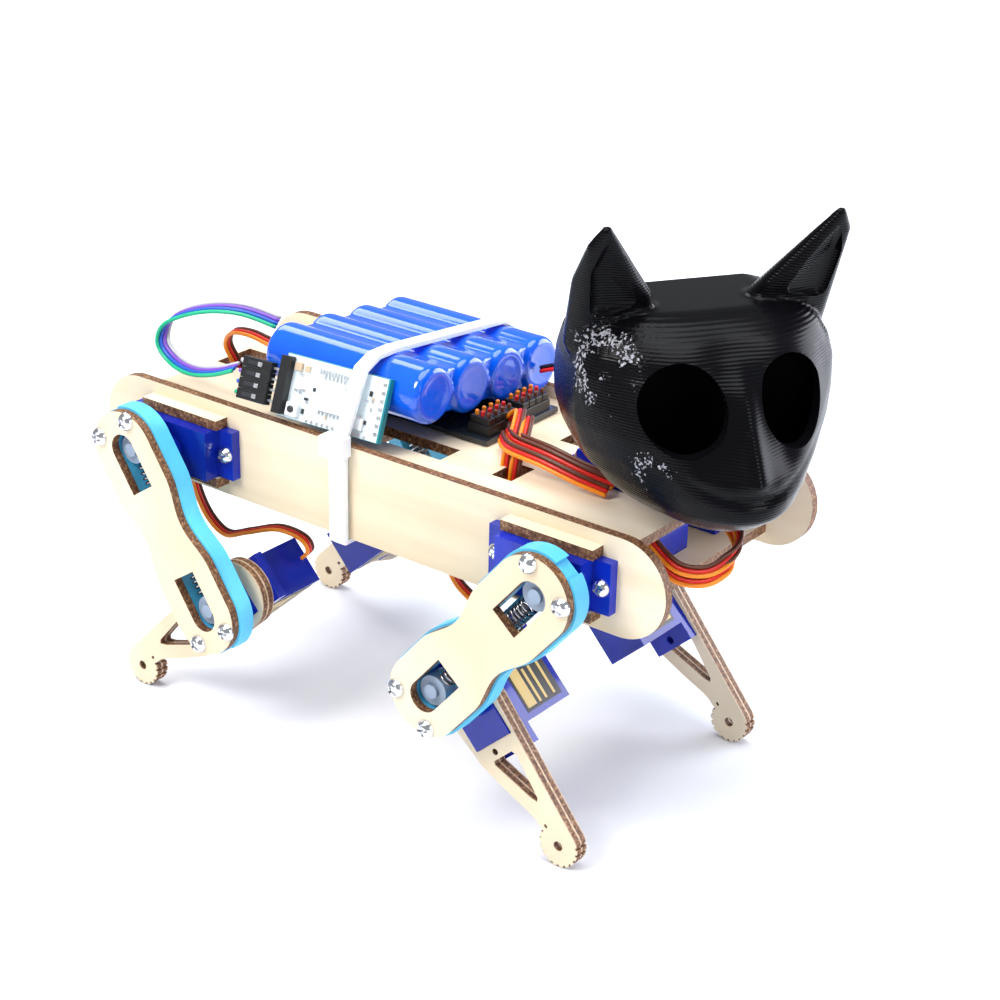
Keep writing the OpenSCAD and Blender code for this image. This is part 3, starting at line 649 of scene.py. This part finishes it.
def placed_screw(place, radius):
    grow = Matrix.Scale(radius / (1.0 * MM), 4)
    return [place @ grow @ v for v in SCREW_MASTER[0]], SCREW_MASTER[1]


def screw_group(name, node, body, parts):
    verts, faces, _ = join_parts([(p, 0) for p in parts])
    obj = mesh_object(name, verts, faces, [STEEL])
    obj.data.set_sharp_from_angle(angle=math.radians(35))
    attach(obj, body)
    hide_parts(node)


def outward(origin, side, turn=0.0):
    """Frame whose z points out of the robot's side."""
    m = Matrix.Rotation(-side * math.pi / 2, 4, "X") @ Matrix.Rotation(turn, 4, "Z")
    m.translation = origin
    return m


THIGH_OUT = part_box("thigh_plate_fl")[1].y
THIGH_SCREW_X, THIGH_SCREW_Z = 27.4 * MM, 5.6 * MM
SERVO_SCREW_PITCH = 27.7 * MM
SERVO_AXIS_OFF = 5.5 * MM
FLANGE_T = 2.5 * MM


def thigh_screws(leg):
    hip, knee, _ = leg_points(leg)
    side = LEGS[leg][1]
    m = side_frame((hip + knee) / 2 + Vector((0, side * THIGH_OUT, 0)), knee - hip, side)
    parts = []
    for i in (-1, 1):
        for k in (-1, 1):
            at = m @ Vector((i * THIGH_SCREW_X, 0, k * THIGH_SCREW_Z))
            parts.append(placed_screw(outward(at, side, 0.5 * i + 0.3 * k), 2.3 * MM))
    screw_group("thigh_screw_heads_" + leg, "thigh_screws_" + leg, "thigh_" + leg, parts)


def body_screws():
    parts = []
    for leg, (end, side) in LEGS.items():
        hip = leg_points(leg)[0]
        for k in (-1, 1):
            at = hip + Vector((-end * SERVO_AXIS_OFF + k * SERVO_SCREW_PITCH / 2,
                               side * (PANEL_Y + FLANGE_T), 0))
            parts.append(placed_screw(outward(at, side, 0.4 * k), 2.1 * MM))
    pan = Vector(JOINTS["head_pan"]["pos_m"])
    for k in (-1, 1):
        m = Matrix.Translation((pan.x - SERVO_AXIS_OFF + k * SERVO_SCREW_PITCH / 2, 0, DECK_TOP + FLANGE_T))
        parts.append(placed_screw(m, 2.0 * MM))
    screw_group("servo_screw_heads", "servo_screws", "body", parts)


for leg in LEGS:
    springs(leg)
    thigh_screws(leg)
body_screws()

# ---- Servo labels ----

LABEL_T = 0.08 * MM
CASE_HALF_W = 6.1 * MM


def servo_label(leg):
    """Sticker on both sides of the knee servo: black with gold bars, no lettering."""
    _, knee, foot = leg_points(leg)
    side = LEGS[leg][1]
    m = side_frame(knee + Vector((0, side * PANEL_Y, 0)), foot - knee, side)
    parts = []
    for face in (-1, 1):
        def plate(x0, x1, y0, y1, lift, index):
            z = face * (CASE_HALF_W + LABEL_T * lift)
            lo = (x0 * MM, -y1 * MM, min(z, z + face * LABEL_T))
            hi = (x1 * MM, -y0 * MM, max(z, z + face * LABEL_T))
            parts.append((block_parts(lo, hi, m), index))
        plate(-4.2, 15.4, 1.6, 14.2, 0.1, 0)
        plate(-3.4, 14.6, 2.3, 5.4, 1.1, 1)
        plate(-3.4, 5.0, 6.4, 9.6, 1.1, 1)
        plate(6.2, 14.6, 6.4, 7.2, 1.1, 1)
        plate(6.2, 14.6, 8.6, 9.4, 1.1, 1)
        plate(-3.4, 14.6, 11.6, 12.4, 1.1, 1)
    verts, faces, indices = join_parts(parts)
    obj = mesh_object("servo_label_" + leg, verts, faces, [LABEL, LABEL_GOLD], False, indices)
    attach(obj, "shank_" + leg)


for leg in LEGS:
    servo_label(leg)

# ---- Battery ----

CELL_R = 7.0 * MM
CELL_PITCH = 13.6 * MM
CELL_HALF = 23.5 * MM
BATTERY_TIP = math.radians(-6)


def battery():
    lo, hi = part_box("battery_pack")
    m = Matrix.Rotation(BATTERY_TIP, 4, "X")
    m.translation = (lo + hi) / 2
    round_r = 1.7 * MM
    profile = [(0.001 * MM, -CELL_HALF + 0.4 * MM), (CELL_R * 0.55, -CELL_HALF + 0.25 * MM)]
    for i in range(7):
        a = math.pi / 2 * i / 6
        profile.append((CELL_R - round_r + round_r * math.sin(a),
                        -CELL_HALF + round_r - round_r * math.cos(a)))
    profile += [(r, -h) for r, h in reversed(profile)]
    parts = []
    for k in (-1.5, -0.5, 0.5, 1.5):
        turn = m @ Matrix.Translation((0, k * CELL_PITCH, 0)) @ Matrix.Rotation(math.pi / 2, 4, "Y")
        parts.append((lathe_parts(profile, turn, 48), 0))
    web = CELL_R - 1.7 * MM
    parts.append((block_parts((-CELL_HALF + 1.2 * MM, -1.5 * CELL_PITCH, -web),
                              (CELL_HALF - 1.2 * MM, 1.5 * CELL_PITCH, web), m), 0))
    verts, faces, _ = join_parts(parts)
    obj = mesh_object("battery_sleeve", verts, faces, [SLEEVE])
    one_skin(obj, 0.45 * MM)
    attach(obj, "body")
    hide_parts("battery_pack")


battery()

# ---- Boards ----

RADIO_TURN, RADIO_LEAN = math.radians(4), math.radians(-21)
RADIO_AT = Vector((-13.2, -25.6, 89.4)) * MM
RADIO_L, RADIO_H = 29.5, 15.0


def radio_place():
    m = Matrix.Rotation(RADIO_TURN, 4, "Z") @ Matrix.Rotation(RADIO_LEAN, 4, "X")
    m.translation = RADIO_AT + Vector((BODY_X, 0, 0))
    return m


def radio_board():
    m = radio_place()
    materials = [BOARD_TEAL, BOARD_GLARE, CHIP, WHITE_AND_GLARE, SOLDER, CERAMIC, BLACK]
    parts = []

    def part(x0, x1, z0, z1, high, index, deep=0.0, bevel=0.08):
        """Box on the outer face, which looks along local -y."""
        lo = (x0 * MM, (-0.8 - high) * MM, z0 * MM)
        hi = (x1 * MM, (-0.8 - deep) * MM, z1 * MM)
        parts.append((block_parts(lo, hi, m, bevel * MM), index))

    half_l, half_h = RADIO_L / 2, RADIO_H / 2
    parts.append((block_parts((-half_l * MM, -0.78 * MM, -half_h * MM),
                              (half_l * MM, 0.8 * MM, half_h * MM), m, 0.05 * MM), 0))
    # pale face over the teal board: painted reflection
    part(-half_l + 0.15, half_l - 0.5, -half_h + 0.15, half_h - 0.15, 0.02, 1, -0.05, 0)
    # header strip with its black body, at the rear end
    part(-half_l + 0.1, -half_l + 2.6, -half_h + 0.7, half_h - 0.7, 2.5, 6, 0.02, 0.15)
    # chip drawn pale, body and top: painted reflection
    part(-3.2, 3.9, -3.6, 3.4, 0.95, 3, 0.03, 0.15)
    part(-2.6, 3.3, -3.0, 2.8, 1.0, 1, 0.9, 0.05)
    part(7.0, 10.0, -5.6, -2.8, 0.8, 3, 0.02)
    part(-11.4, -8.2, -6.6, -3.5, 1.5, 3, 0.02, 0.2)
    verts_round = lathe_parts([(0.8 * MM, 0), (0.8 * MM, 0.5 * MM), (0.5 * MM, 0.62 * MM)],
                              m @ Matrix.Translation((-9.8 * MM, -2.2 * MM, -5.0 * MM))
                              @ Matrix.Rotation(math.pi / 2, 4, "X"), 20)
    parts.append((verts_round, 2))
    part(-11.6, -9.6, 4.0, 5.9, 0.8, 5)
    part(-8.8, -7.4, 4.2, 5.6, 0.6, 5)
    # rows of legs and castellated pads
    for k in range(12):
        part(-4.6 + k * 0.85, -4.2 + k * 0.85, 4.6, 5.7, 0.35, 4, 0.02, 0)
        part(-6.0 + k * 1.5, -5.4 + k * 1.5, -7.2, -6.5, 0.25, 4, 0.02, 0)
    for k in range(7):
        part(half_l - 1.7, half_l - 0.7, -5.9 + k * 1.9, -5.1 + k * 1.9, 0.2, 4, 0.02, 0)
    for k in range(6):
        for s in (-1, 1):
            part(-3.0 + k * 1.1, -2.6 + k * 1.1, s * 4.1 - 0.45, s * 4.1 + 0.45, 0.3, 4, 0.02, 0)
    draw = random.Random(7)
    for k in range(46):
        x, z = draw.uniform(-10.8, 12.4), draw.uniform(-6.2, 6.2)
        if -4.6 < x < 5.2 and -4.8 < z < 4.6 or x < -7.6 and z < -3 or z > 3.8 and x < 6:
            continue
        w, h = draw.choice([(0.5, 0.9), (0.9, 0.5), (0.6, 1.2), (1.1, 0.6)])
        high = draw.uniform(0.3, 0.55)
        part(x - w / 2, x + w / 2, z - h / 2, z + h / 2, high, draw.choice([2, 3, 4, 4, 5]), 0.02, 0.04)
    verts, faces, indices = join_parts(parts)
    obj = mesh_object("radio_board_detail", verts, faces, materials, False, indices)
    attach(obj, "body")
    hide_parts("radio_board")


def jumper_housings():
    m = radio_place()
    parts = []
    start = -RADIO_L / 2
    for k in range(4):
        z = 1.9 - k * 2.54
        x0, x1 = start - 10.5, start - 2
        parts.append((block_parts((x0 * MM, -3.4 * MM, z * MM), (x1 * MM, -1.0 * MM, (z + 2.45) * MM), m,
                                  0.18 * MM), 0))
        # crimp window and its bright contact
        parts.append((block_parts(((x0 + 1.6) * MM, -3.5 * MM, (z + 0.85) * MM),
                                  ((x0 + 5.6) * MM, -3.38 * MM, (z + 1.75) * MM), m, 0.04 * MM), 2))
        parts.append((block_parts(((x0 + 4.6) * MM, -3.62 * MM, (z + 0.8) * MM),
                                  ((x0 + 5.8) * MM, -3.4 * MM, (z + 1.8) * MM), m, 0.1 * MM), 1))
        parts.append((block_parts(((x1 - 0.1) * MM, -2.5 * MM, (z + 0.95) * MM),
                                  ((start + 0.1) * MM, -1.9 * MM, (z + 1.5) * MM), m), 1))
        parts.append((lathe_parts([(0.5 * MM, 0), (0.5 * MM, 1.2 * MM)],
                                  m @ Matrix.Translation((x0 * MM, -2.2 * MM, (z + 1.2) * MM))
                                  @ Matrix.Rotation(-math.pi / 2, 4, "Y"), 12), 3 + k))
    verts, faces, indices = join_parts(parts)
    materials = [BLACK, SOLDER, CHIP] + [WIRES[c] for c in ("grey", "purple", "blue", "green")]
    obj = mesh_object("jumper_housing_detail", verts, faces, materials, False, indices)
    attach(obj, "body")
    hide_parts("jumper_housings")


def controller_board():
    lo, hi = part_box("controller_board")
    parts = []
    board_lo = Vector((lo.x, lo.y, lo.z + 0.4 * MM))
    top = board_lo.z + 1.2 * MM
    parts.append((block_parts(board_lo, (hi.x, hi.y, top), None, 0.1 * MM), 0))
    for x in (lo.x + 3 * MM, hi.x - 3 * MM):
        for y in (lo.y + 3 * MM, hi.y - 3 * MM):
            foot = Matrix.Translation((x, y, lo.z))
            parts.append((lathe_parts([(2 * MM, 0), (2 * MM, 0.45 * MM)], foot, 24), 1))
    for row in range(2):
        x0, y0 = hi.x - 7 * MM, lo.y + (2 + row * 13) * MM
        parts.append((block_parts((x0, y0, top), (x0 + 6 * MM, y0 + 11 * MM, top + 2.5 * MM), None,
                                  0.15 * MM), 1))
        # servo plugs side by side, each with the stubs of its three wires
        for k in range(4):
            y = y0 + (0.45 + k * 2.6) * MM
            parts.append((block_parts((x0 + 0.2 * MM, y, top + 2.5 * MM),
                                      (x0 + 5.8 * MM, y + 2.4 * MM, top + 4.2 * MM), None, 0.2 * MM), 1))
            for wire in range(3):
                at = Matrix.Translation((x0 + (1.3 + 1.7 * wire) * MM, y + 1.2 * MM,
                                         top + 4.1 * MM))
                stub = [(0.5 * MM, 0), (0.5 * MM, 1.1 * MM), (0.3 * MM, 1.3 * MM)]
                parts.append((lathe_parts(stub, at, 12), 2 + wire))
    verts, faces, indices = join_parts(parts)
    materials = [BOARD_BLACK, BLACK] + [WIRES[c] for c in SERVO_RIBBON]
    obj = mesh_object("controller_board_detail", verts, faces, materials, False, indices)
    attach(obj, "body")
    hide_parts("controller_board")


radio_board()
jumper_housings()
controller_board()

# ---- Head: skull, brows, muzzle and ears in the neck's frame, in millimetres ----

SKULL = [(84.3, 8, 35, 1), (85.5, 12.5, 39, 1.1), (88, 17.5, 43.5, 1.4), (91, 21.2, 47, 1.6),
         (95, 24.4, 48.5, 1.7), (99.5, 26.8, 48, 1.7), (105, 28.6, 44.5, 1.5), (110, 29, 41, 1.3),
         (116, 28.6, 38, 1.1), (120.5, 27.2, 34.5, 1), (124, 25, 30, 1), (126.4, 21.5, 25, 1),
         (127.6, 17, 21, 1)]
SKULL_MID, SKULL_BACK, SKULL_SIDE = 18, -30, 2.1
HEAD_CUT = 1
EYE_R, EYE_OUT, EYE_UP, EYE_TURN = 8.7, 9.5, 112.6, 10
EAR_LEAF = [(24.5, 25.6, 147.6, 1.1), (22.5, 27.4, 143.5, 1.5), (17, 28, 135, 1.8), (12, 24.8, 121, 4.4),
            (20.5, 19, 135.5, 1.8), (17, 14.5, 130.6, 2.2), (12, 12.5, 123, 4)]
EAR_HOLLOW = [(25.4, 25.3, 144, 0.9), (22.4, 25.8, 138, 1.9), (20.6, 24.6, 129.5, 2.4),
              (23.2, 20.4, 136, 1.5), (21.6, 18.4, 130.2, 2.2)]
TILT_AXIS = (12, 100)
# the dark plate behind the eyes, painted shade for the head's dark inside: its depth and its height
SHADE_PLATE_DEPTH, SHADE_PLATE_Z = (25.5, 27.1), (97, 124)
SHADE_PLATE_GAP = 1.3
SHELL_T = 2.4
# the neck's cut-out under the skull: how far forward and how high
NECK_CUT = (20, 95)
# larger than the head each way, for cutting blocks
FAR = 60


def bell(x, wide):
    return math.exp(-(x / wide) ** 2)


def step(x, a, b):
    t = min(1, max(0, (x - a) / (b - a)))
    return t * t * (3 - 2 * t)


def skull_row(z):
    for a, b in zip(SKULL, SKULL[1:]):
        if z <= b[0]:
            t = (z - a[0]) / (b[0] - a[0])
            return tuple(u + (v - u) * t for u, v in zip(a, b))
    return SKULL[-1]


def features(y, z):
    """How far the face stands forward of the plain skull."""
    out = 0.0
    # nose bridge, sharpest at the tip, and the short flat of the nose under it
    out += 1.9 * bell(y, 2.6) * step(z, 97, 100) * (1 - step(z, 108, 126))
    # jaw, and the mouth line that rises to each cheek
    out += 0.9 * bell(z - 91, 3)
    out -= 1.5 * bell(z - (95.6 + 0.022 * y * y), 0.9) * bell(y, 16)
    # hollow beside the nose, brow over each eye, hollow temple beyond it
    out -= 1.5 * bell(abs(y) - 8.5, 4) * bell(z - 104, 5)
    out += 1.2 * bell(abs(y) - 12, 8) * bell(z - 122.5, 2.6)
    out -= 1.3 * bell(y, 7) * bell(z - 121, 4)
    out -= 1.6 * bell(abs(y) - 23, 4) * bell(z - 116, 6)
    return out


def skull_mesh(cut):
    verts, faces = [], []
    around = 128
    low, high = SKULL[0][0] + cut, SKULL[-1][0] - cut
    rows = 72
    for i in range(rows + 1):
        z = low + (high - low) * (0.5 - 0.5 * math.cos(math.pi * i / rows))
        _, wide, reach, pinch = skull_row(z)
        for k in range(around):
            a = 2 * math.pi * k / around
            c = math.cos(a)
            y = (wide - cut) * math.sin(a)
            forward = (SKULL_MID - SKULL_BACK - cut) * c
            if c > 0:
                forward = (reach - SKULL_MID - cut) * c ** pinch + features(y, z) * c ** 0.5
            verts.append(Vector((SKULL_MID + forward, SKULL_SIDE + y, z)))
    for i in range(rows):
        for k in range(around):
            n = (k + 1) % around
            faces.append((i * around + k, i * around + n, (i + 1) * around + n, (i + 1) * around + k))
    faces.append(tuple(range(around - 1, -1, -1)))
    faces.append(tuple(rows * around + k for k in range(around)))
    return verts, faces


def ear_mesh(side, points):
    """Smooth skin round a few balls."""
    bm = bmesh.new()
    for x, y, z, r in points:
        at = Matrix.Translation((x, SKULL_SIDE + side * y, z))
        bmesh.ops.create_icosphere(bm, subdivisions=3, radius=r, matrix=at)
    bmesh.ops.convex_hull(bm, input=bm.verts[:])
    bmesh.ops.delete(bm, geom=[v for v in bm.verts if not v.link_faces], context="VERTS")
    hull = bmesh.ops.convex_hull(bm, input=bm.verts[:])
    inside = [g for g in hull["geom_interior"] if isinstance(g, bmesh.types.BMVert)]
    bmesh.ops.delete(bm, geom=inside, context="VERTS")
    bmesh.ops.recalc_face_normals(bm, faces=bm.faces[:])
    bm.verts.index_update()
    verts = [v.co.copy() for v in bm.verts]
    faces = [tuple(v.index for v in f.verts) for f in bm.faces]
    bm.free()
    return verts, faces


def placed(parts, place):
    return [place @ v for v in parts[0]], parts[1]


def mask(m):
    parts = [(placed(skull_mesh(0), m), 0)] + [(placed(ear_mesh(s, EAR_LEAF), m), 0) for s in (-1, 1)]
    verts, faces, _ = join_parts(parts)
    obj = mesh_object("cat_head", verts, faces, [HEAD_BLACK])
    one_skin(obj, 0.6 * MM)
    carve(obj, placed(skull_mesh(SHELL_T), m))
    for s in (-1, 1):
        carve(obj, placed(ear_mesh(s, EAR_HOLLOW), m))
        turn = m @ Matrix.Translation((20, SKULL_SIDE + s * EYE_OUT, EYE_UP))
        turn = turn @ Matrix.Rotation(math.radians(EYE_TURN * s), 4, "Z")
        turn = turn @ Matrix.Rotation(math.pi / 2, 4, "Y")
        carve(obj, lathe_parts([(EYE_R - 0.2, 0), (EYE_R, 14), (EYE_R + 1.0, 26)], turn, 64))
    carve(obj, block_parts((-FAR, -FAR, FAR), (HEAD_CUT, FAR, 160), m))
    carve(obj, block_parts((-FAR, -FAR, FAR), (NECK_CUT[0], FAR, NECK_CUT[1]), m))
    for p in obj.data.polygons:
        p.use_smooth = True
    obj.data.set_sharp_from_angle(angle=math.radians(50))
    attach(obj, "head")
    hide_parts("head_shell")


def painted_eye_shade(m):
    """Dark plate behind the eyes, painted shade for the head's dark inside, cut to the inside of the mask."""
    outline = []
    rows = 18
    for i in range(rows + 1):
        z = SHADE_PLATE_Z[0] + (SHADE_PLATE_Z[1] - SHADE_PLATE_Z[0]) * i / rows
        _, wide, reach, pinch = skull_row(z)
        c = min(1, (SHADE_PLATE_DEPTH[1] - SKULL_MID) / (reach - SKULL_MID)) ** (1 / pinch)
        outline.append((wide * math.sqrt(1 - c * c) - SHADE_PLATE_GAP, z))
    loop = [(SKULL_SIDE + y, z) for y, z in outline] + [(SKULL_SIDE - y, z) for y, z in reversed(outline)]
    count = len(loop)
    verts = [m @ Vector((x, y, z)) for x in SHADE_PLATE_DEPTH for y, z in loop]
    faces = [(k, (k + 1) % count, count + (k + 1) % count, count + k) for k in range(count)]
    faces += [tuple(range(count - 1, -1, -1)), tuple(range(count, 2 * count))]
    obj = mesh_object("painted_eye_shade", verts, faces, [EYE_SHADE], False)
    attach(obj, "head")


def head_hub(m):
    """Round post from the mask's left side to the tilt servo's shaft."""
    x, z = TILT_AXIS
    start = m @ Matrix.Translation((x, 27.6, z)) @ Matrix.Rotation(math.pi / 2, 4, "X")
    hub = lathe_parts([(2.4, 0), (4.6, 0), (4.6, 19.8), (2.6, 20.1)], start, 40)
    obj = mesh_object("head_hub", hub[0], hub[1], [HEAD_BLACK])
    obj.data.set_sharp_from_angle(angle=math.radians(40))
    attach(obj, "head")


def head():
    m = head_place()
    mask(m)
    painted_eye_shade(m)
    head_hub(m)


head()

# ---- CAD nodes that stay: materials by slot, and softly broken edges ----

SLOT_MATERIAL = {
    "printed_core": CORE_BLUE, "servo_case": SERVO_BLUE, "steel": STEEL, "spring_steel": SPRING, "horn": HORN,
    "head_black": HEAD_BLACK, "black_plastic": BLACK, "board": BOARD_BLACK, "board_teal": BOARD_TEAL,
    "sleeve": SLEEVE, "nylon": NYLON, "ribbon": WIRES["orange"], "jumper_green": WIRES["green"],
    "lead_red": WIRES["red"],
}
SOFT_EDGES = {"servo_case": 0.35 * MM, "nylon": 0.25 * MM, "black_plastic": 0.3 * MM, "horn": 0.2 * MM,
              "printed_core": 0.25 * MM}


def wood_for(node):
    if "deck" in node:
        return PLY_DECK
    if "thigh" in node:
        return PLY_THIGH
    return PLY_SHANK if "shank" in node else PLY_BODY_Y


def dress_nodes():
    slots = {s["node"]: s["material_slot"] for s in RECORD["subparts"]}
    for node, obj in NODES.items():
        slot = slots[node]
        material = wood_for(node) if slot == "plywood" else SLOT_MATERIAL[slot]
        if not obj.data.materials:
            obj.data.materials.append(material)
        for i in range(len(obj.data.materials)):
            obj.data.materials[i] = material
        if slot in SOFT_EDGES:
            mod = obj.modifiers.new("soft_edges", "BEVEL")
            mod.width = SOFT_EDGES[slot]
            mod.segments = 2
            mod.limit_method = "ANGLE"
            mod.angle_limit = math.radians(40)
            mod.harden_normals = False


dress_nodes()

# ---- Floor and light ----


def floor():
    s = Shader("studio_floor", roughness=0.6)
    s.set("Base Color", s.ramp(s.noise(3, 2), [(0.3, (0.86, 0.88, 0.92)), (0.7, (0.88, 0.90, 0.94))]))
    obj = mesh_object("studio_floor", [(-6, -6, 0), (6, -6, 0), (6, 6, 0), (-6, 6, 0)], [(0, 1, 2, 3)],
                      [s.material], False)
    obj.location.z = -0.0002


def area_light(name, place, target, size, watts, colour=(1, 1, 1)):
    data = bpy.data.lights.new(name, "AREA")
    data.shape = "DISK"
    data.size = size
    data.energy = watts
    data.color = colour
    obj = bpy.data.objects.new(name, data)
    obj.location = place
    obj.rotation_mode = "QUATERNION"
    obj.rotation_quaternion = (Vector(place) - Vector(target)).to_track_quat("Z", "Y")
    bpy.context.collection.objects.link(obj)


def studio():
    world = bpy.data.worlds.new("studio")
    bpy.context.scene.world = world
    world.use_nodes = True
    background = world.node_tree.nodes["Background"]
    background.inputs["Color"].default_value = (0.93, 0.96, 1.0, 1)
    background.inputs["Strength"].default_value = 0.4
    middle = (0, 0, 0.07)
    area_light("key", (-0.25, -0.75, 0.85), middle, 0.45, 9, (1.0, 0.98, 0.95))
    area_light("fill", (0.9, -0.1, 0.35), middle, 0.4, 2.5, (0.92, 0.95, 1.0))
    area_light("side", (0.42, 0.78, 0.3), middle, 0.7, 9, (0.88, 0.89, 1.0))
    area_light("back", (-0.9, 0.4, 0.9), middle, 0.5, 3, (0.95, 0.97, 1.0))
    area_light("top", (0, 0, 1.8), middle, 1.8, 38, (0.96, 0.98, 1.0))
    bpy.context.scene.view_settings.view_transform = "Standard"
    bpy.context.scene.view_settings.look = "None"


floor()
studio()
